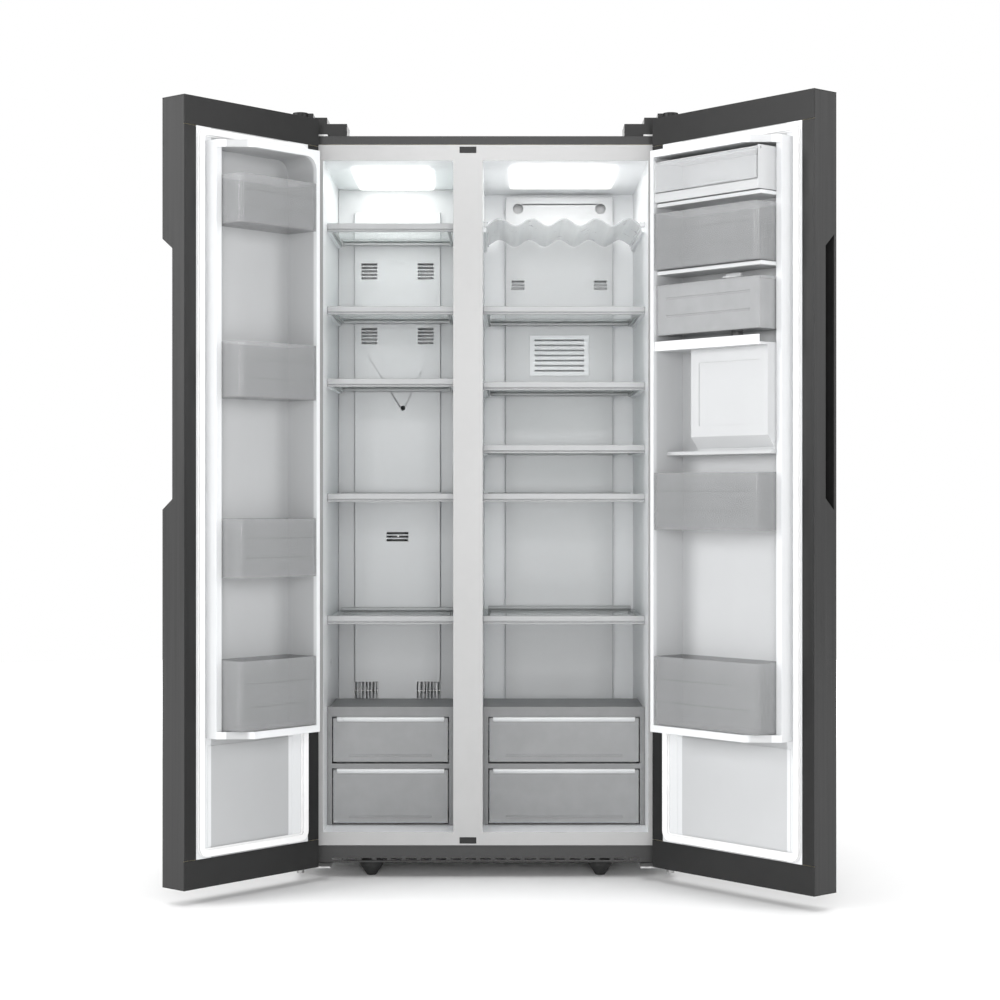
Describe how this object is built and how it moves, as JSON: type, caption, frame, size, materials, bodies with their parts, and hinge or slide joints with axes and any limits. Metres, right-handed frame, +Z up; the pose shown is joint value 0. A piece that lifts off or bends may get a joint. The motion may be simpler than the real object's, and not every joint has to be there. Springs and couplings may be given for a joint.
{
  "type": "side by side refrigerator",
  "caption": "Side by side refrigerator with both doors swung open on vertical hinges, glass shelves, sliding drawers, door bins, water tank and front dispenser.",
  "frame": {"origin": "on the floor, under the middle of the whole footprint with both doors open", "axes": "+Z up, front towards -Y, +X to the right seen from the front, with both doors open"},
  "size_m": [1.4848, 1.0629, 1.802],
  "materials": {
    "dark_steel": "dark graphite brushed look coating",
    "dark_trim": "satin dark plastic",
    "grip_black": "satin",
    "zinc_steel": "galvanised sheet",
    "foam": "closed cell insulating foam",
    "liner_white": "smooth moulded",
    "frame_light": "light grey coated",
    "kick_grey": "satin",
    "foot_black": "moulded",
    "lamp": "frosted diffuser",
    "duct_grey": "satin moulded",
    "filter_grey": "satin moulded",
    "shelf_glass": "tempered clear",
    "trim_grey": "satin moulded",
    "drawer_frame": "satin moulded",
    "compressor_black": "painted",
    "condenser_black": "painted fins",
    "evaporator_alu": "bare fins",
    "inlet_black": "moulded",
    "fan_grey": "moulded",
    "drawer_clear": "translucent",
    "gasket_grey": "soft lip",
    "bin_clear": "translucent grey",
    "flap_clear": "clear",
    "tank_clear": "translucent",
    "valve_grey": "satin",
    "niche_dark": "satin",
    "panel_black": "gloss touch panel",
    "drip_black": "satin"
  },
  "bodies": {
    "cabinet": {"outer_wrap": "dark_steel", "back_panel": "zinc_steel", "base_pan": "zinc_steel", "cabinet_foam": "foam", "freezer_liner": "liner_white", "fridge_liner": "liner_white", "front_frame": "frame_light", "mullion_plugs": "dark_trim", "kick_plate": "kick_grey", "base_channels": "zinc_steel", "levelling_feet": "foot_black", "hinge_brackets": "zinc_steel", "hinge_covers": "dark_trim", "lamps": "lamp", "freezer_duct": "duct_grey", "fridge_duct": "duct_grey", "filter_cover": "filter_grey", "freezer_glass": "shelf_glass", "freezer_trims": "trim_grey", "fridge_glass": "shelf_glass", "fridge_trims": "trim_grey", "bottle_rack": "trim_grey", "freezer_drawer_frame": "drawer_frame", "crisper_frame": "drawer_frame", "machine_tray": "zinc_steel", "compressor": "compressor_black", "condenser": "condenser_black", "machine_cover": "zinc_steel", "power_inlet": "inlet_black", "evaporator": "evaporator_alu"},
    "roller_set": {"roller_set": "foot_black"},
    "evaporator_fan": {"evaporator_fan": "fan_grey"},
    "condenser_fan": {"condenser_fan": "fan_grey"},
    "freezer_drawer_top": {"freezer_drawer_top": "drawer_clear"},
    "freezer_drawer_low": {"freezer_drawer_low": "drawer_clear"},
    "crisper_top": {"crisper_top": "drawer_clear"},
    "crisper_low": {"crisper_low": "drawer_clear"},
    "freezer_door": {"freezer_door_skin": "dark_steel", "freezer_door_caps": "dark_trim", "freezer_door_liner": "liner_white", "freezer_door_foam": "foam", "freezer_door_gasket": "gasket_grey", "freezer_door_bins": "bin_clear", "freezer_door_grip": "grip_black"},
    "fridge_door": {"fridge_door_skin": "dark_steel", "fridge_door_caps": "dark_trim", "fridge_door_liner": "liner_white", "fridge_door_foam": "foam", "fridge_door_gasket": "gasket_grey", "fridge_door_bins": "bin_clear", "fridge_door_grip": "grip_black", "dairy_box": "liner_white", "water_tank": "tank_clear", "tank_valve": "valve_grey", "dispenser_niche": "niche_dark", "control_panel": "panel_black"},
    "dairy_flap": {"dairy_flap": "flap_clear"},
    "filler_cap": {"filler_cap": "tank_clear"},
    "dispenser_paddle": {"dispenser_paddle": "niche_dark"},
    "drip_tray": {"drip_tray": "drip_black"}
  },
  "joints": [
    {"name": "freezer_door_hinge", "type": "hinge", "parent": "cabinet", "child": "freezer_door", "pos_m": [-0.46155, -0.14487, 0], "axis": [0, 0, -1], "range_deg": [-131, 4]},
    {"name": "fridge_door_hinge", "type": "hinge", "parent": "cabinet", "child": "fridge_door", "pos_m": [0.40645, -0.14487, 0], "axis": [0, 0, 1], "range_deg": [-131, 4]},
    {"name": "freezer_drawer_top_slide", "type": "slide", "parent": "cabinet", "child": "freezer_drawer_top", "axis": [0, -1, 0], "range_m": [0, 0.19]},
    {"name": "freezer_drawer_low_slide", "type": "slide", "parent": "cabinet", "child": "freezer_drawer_low", "axis": [0, -1, 0], "range_m": [0, 0.19]},
    {"name": "crisper_top_slide", "type": "slide", "parent": "cabinet", "child": "crisper_top", "axis": [0, -1, 0], "range_m": [0, 0.19]},
    {"name": "crisper_low_slide", "type": "slide", "parent": "cabinet", "child": "crisper_low", "axis": [0, -1, 0], "range_m": [0, 0.19]},
    {"name": "dairy_flap_hinge", "type": "hinge", "parent": "fridge_door", "child": "dairy_flap", "pos_m": [0.49623, -0.43716, 1.65991], "axis": [-0.6561, 0.7547, 0], "range_deg": [0, 75]},
    {"name": "filler_cap_turn", "type": "hinge", "parent": "fridge_door", "child": "filler_cap", "pos_m": [0.5268, -0.41059, 1.38891], "axis": [0, 0, 1], "range_deg": [0, 60]},
    {"name": "dispenser_paddle_hinge", "type": "hinge", "parent": "fridge_door", "child": "dispenser_paddle", "pos_m": [0.58378, -0.36106, 1.11169], "axis": [-0.6561, 0.7547, 0], "range_deg": [0, 5], "stiffness_Nm_per_rad": 2, "springref_deg": -2.86},
    {"name": "drip_tray_slide", "type": "slide", "parent": "fridge_door", "child": "drip_tray", "axis": [0.7547, 0.6561, 0], "range_m": [0, 0.055]},
    {"name": "roller_spin", "type": "hinge", "parent": "cabinet", "child": "roller_set", "pos_m": [-0.02755, 0.46313, 0.02], "axis": [1, 0, 0], "continuous": true},
    {"name": "evaporator_fan_spin", "type": "hinge", "parent": "cabinet", "child": "evaporator_fan", "pos_m": [-0.25855, 0.40913, 0.80009], "axis": [0, 1, 0], "continuous": true},
    {"name": "condenser_fan_spin", "type": "hinge", "parent": "cabinet", "child": "condenser_fan", "pos_m": [-0.01755, 0.41713, 0.149], "axis": [1, 0, 0], "continuous": true}
  ]
}
